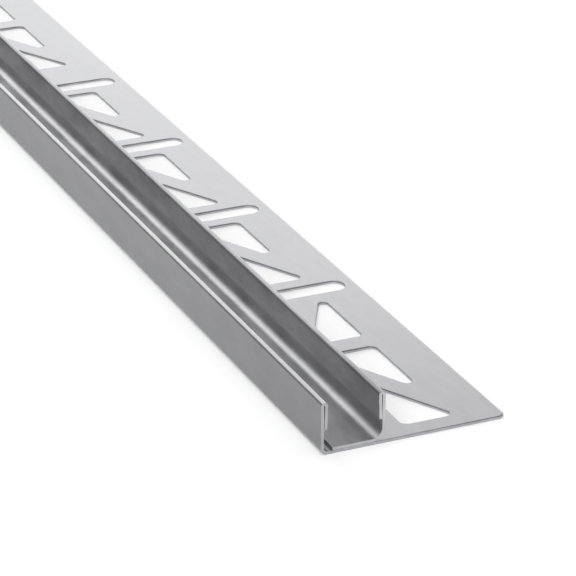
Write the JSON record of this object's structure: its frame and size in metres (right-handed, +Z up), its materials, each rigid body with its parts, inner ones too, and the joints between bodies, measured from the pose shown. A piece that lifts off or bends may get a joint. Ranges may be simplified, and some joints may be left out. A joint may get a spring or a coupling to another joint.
{
  "type": "shower glass channel profile",
  "caption": "Stainless steel channel profile with a hemmed U channel for a glass panel and a perforated flange for tile adhesive.",
  "frame": {"origin": "centre of the underside, at half the length and half the width", "axes": "+X along the length, towards the end shown nearest in the picture; +Y across, from the channel towards the perforated flange; +Z up, out of the channel's mouth"},
  "size_m": [1, 0.045, 0.0125],
  "materials": {
    "stainless_sheet": "brushed along the length, satin"
  },
  "bodies": {
    "root": {"perforated_carrier": "stainless_sheet", "channel_angle": "stainless_sheet"}
  },
  "joints": []
}
